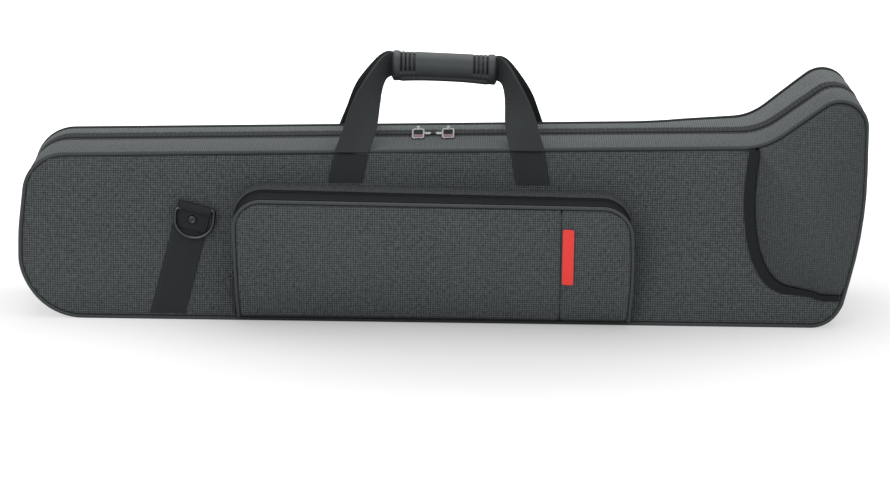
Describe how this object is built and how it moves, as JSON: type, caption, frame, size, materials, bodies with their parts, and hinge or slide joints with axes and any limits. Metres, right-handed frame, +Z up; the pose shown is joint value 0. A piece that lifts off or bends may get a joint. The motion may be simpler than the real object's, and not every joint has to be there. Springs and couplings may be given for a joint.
{
  "type": "trombone case",
  "caption": "Soft zipped instrument case with a raised bell end, hinged foam shells, webbing handle with a padded grip and a zipped front pocket.",
  "frame": {"origin": "Middle of the bounding box at its foot, where the case stands on its spine.", "axes": "+X along the case towards the bell end, +Y to the rear shell, +Z up; the pocket faces -Y."},
  "size_m": [0.938, 0.2714, 0.2905],
  "materials": {
    "weave": "woven",
    "gusset": "woven",
    "piping": "woven",
    "webbing": "woven webbing",
    "tape": "woven tape",
    "coil": "moulded",
    "foam": null,
    "plush": "plush",
    "rubber": "moulded, matt",
    "nickel": "satin nickel plate",
    "black_steel": "black, semi-gloss",
    "label": "woven ribbon, plain"
  },
  "bodies": {
    "base": {"rear_foam_shell": "foam", "rear_lining": "plush", "rear_gusset": "gusset", "rear_piping": "piping", "rear_panel": "weave", "zip_tape_rear": "tape", "zip_coil_rear": "coil", "spine_strip_rear": "gusset", "handle_webbing_rear_left": "webbing", "handle_webbing_rear_right": "webbing", "neck_cradle": "plush", "bow_cradle": "plush", "accessory_box": "plush", "mouthpiece_holder": "plush", "ring_tab_rear": "webbing", "ring_rivet_rear": "black_steel"},
    "lid": {"front_foam_shell": "foam", "front_lining": "plush", "front_gusset": "gusset", "front_piping": "piping", "front_panel": "weave", "bell_gore": "weave", "bell_tape": "tape", "zip_tape_front": "tape", "zip_coil_front": "coil", "spine_strip_front": "gusset", "handle_webbing_front_left": "webbing", "handle_webbing_front_right": "webbing", "slide_cradle_left": "plush", "slide_cradle_right": "plush", "ring_strap": "webbing", "ring_tab_front": "webbing", "ring_rivet_front": "black_steel", "pocket_gusset": "gusset", "pocket_zip_tape_rear": "tape"},
    "pocket_flap": {"pocket_zip_tape_front": "tape", "pocket_piping": "piping", "pocket_front_panel": "weave", "pocket_side_panel": "weave", "pocket_floor": "gusset", "pocket_label": "label"},
    "handle_front": {"handle_loop_front": "webbing", "grip_front": "rubber"},
    "handle_rear": {"handle_loop_rear": "webbing", "grip_rear": "rubber"},
    "zip_slider_left": {"slider_left": "nickel"},
    "zip_pull_left": {"pull_left": "nickel"},
    "zip_slider_right": {"slider_right": "nickel"},
    "zip_pull_right": {"pull_right": "nickel"},
    "pocket_zip_slider": {"pocket_slider": "black_steel"},
    "pocket_zip_pull": {"pocket_pull": "black_steel"},
    "ring_front": {"d_ring_front": "black_steel"},
    "ring_rear": {"d_ring_rear": "black_steel"},
    "box_lid": {"accessory_lid": "plush"},
    "neck_tie": {"neck_strap": "webbing"},
    "slide_tie_left": {"slide_strap_left": "webbing"},
    "slide_tie_right": {"slide_strap_right": "webbing"}
  },
  "joints": [
    {"name": "lid_hinge", "type": "hinge", "parent": "base", "child": "lid", "pos_m": [0, 0.01448, 0], "axis": [1, 0, 0], "range_deg": [0, 120]},
    {"name": "pocket_flap_hinge", "type": "hinge", "parent": "lid", "child": "pocket_flap", "pos_m": [-0.0105, -0.08612, 0.007], "axis": [1, 0, 0], "range_deg": [0, 90]},
    {"name": "handle_front_swing", "type": "hinge", "parent": "lid", "child": "handle_front", "pos_m": [0, -0.08902, 0.194], "axis": [1, 0, 0], "range_deg": [0, 130]},
    {"name": "handle_rear_swing", "type": "hinge", "parent": "base", "child": "handle_rear", "pos_m": [0, 0.08298, 0.194], "axis": [1, 0, 0], "range_deg": [-120, 0]},
    {"name": "zip_left_run", "type": "slide", "parent": "base", "child": "zip_slider_left", "axis": [-0.9997, 0, -0.0233], "range_m": [0, 0.36]},
    {"name": "zip_right_run", "type": "slide", "parent": "base", "child": "zip_slider_right", "axis": [0.9997, 0, 0.0233], "range_m": [0, 0.32]},
    {"name": "pull_left_swing", "type": "hinge", "parent": "zip_slider_left", "child": "zip_pull_left", "pos_m": [-0.02694, 0.01448, 0.20158], "axis": [0.9997, 0, 0.0233], "range_deg": [-150, 0]},
    {"name": "pull_right_swing", "type": "hinge", "parent": "zip_slider_right", "child": "zip_pull_right", "pos_m": [0.00166, 0.01448, 0.20225], "axis": [0.9997, 0, 0.0233], "range_deg": [-150, 0]},
    {"name": "pocket_zip_run", "type": "slide", "parent": "lid", "child": "pocket_zip_slider", "axis": [0, -0.0981, 0.9952], "range_m": [0, 0.045]},
    {"name": "pocket_pull_swing", "type": "hinge", "parent": "pocket_zip_slider", "child": "pocket_zip_pull", "pos_m": [-0.23526, -0.0998, 0.052], "axis": [0, 0.9952, 0.0981], "range_deg": [0, 120]},
    {"name": "ring_front_swing", "type": "hinge", "parent": "lid", "child": "ring_front", "pos_m": [-0.272, -0.09322, 0.13], "axis": [0.9976, 0, -0.0698], "range_deg": [-150, 0]},
    {"name": "ring_rear_swing", "type": "hinge", "parent": "base", "child": "ring_rear", "pos_m": [0.18, 0.08528, 0.13], "axis": [-0.9976, 0, -0.0698], "range_deg": [-150, 0]},
    {"name": "box_lid_hinge", "type": "hinge", "parent": "base", "child": "box_lid", "pos_m": [-0.392, 0.01818, 0.07], "axis": [1, 0, 0], "range_deg": [0, 80]},
    {"name": "neck_tie_hinge", "type": "hinge", "parent": "base", "child": "neck_tie", "pos_m": [0.16, 0.00318, 0.096], "axis": [1, 0, 0], "range_deg": [0, 90]},
    {"name": "slide_tie_left_hinge", "type": "hinge", "parent": "lid", "child": "slide_tie_left", "pos_m": [-0.3, -0.03242, 0.0176], "axis": [1, 0, 0], "range_deg": [-35, 0]},
    {"name": "slide_tie_right_hinge", "type": "hinge", "parent": "lid", "child": "slide_tie_right", "pos_m": [0.23, -0.03242, 0.0176], "axis": [1, 0, 0], "range_deg": [-35, 0]}
  ]
}
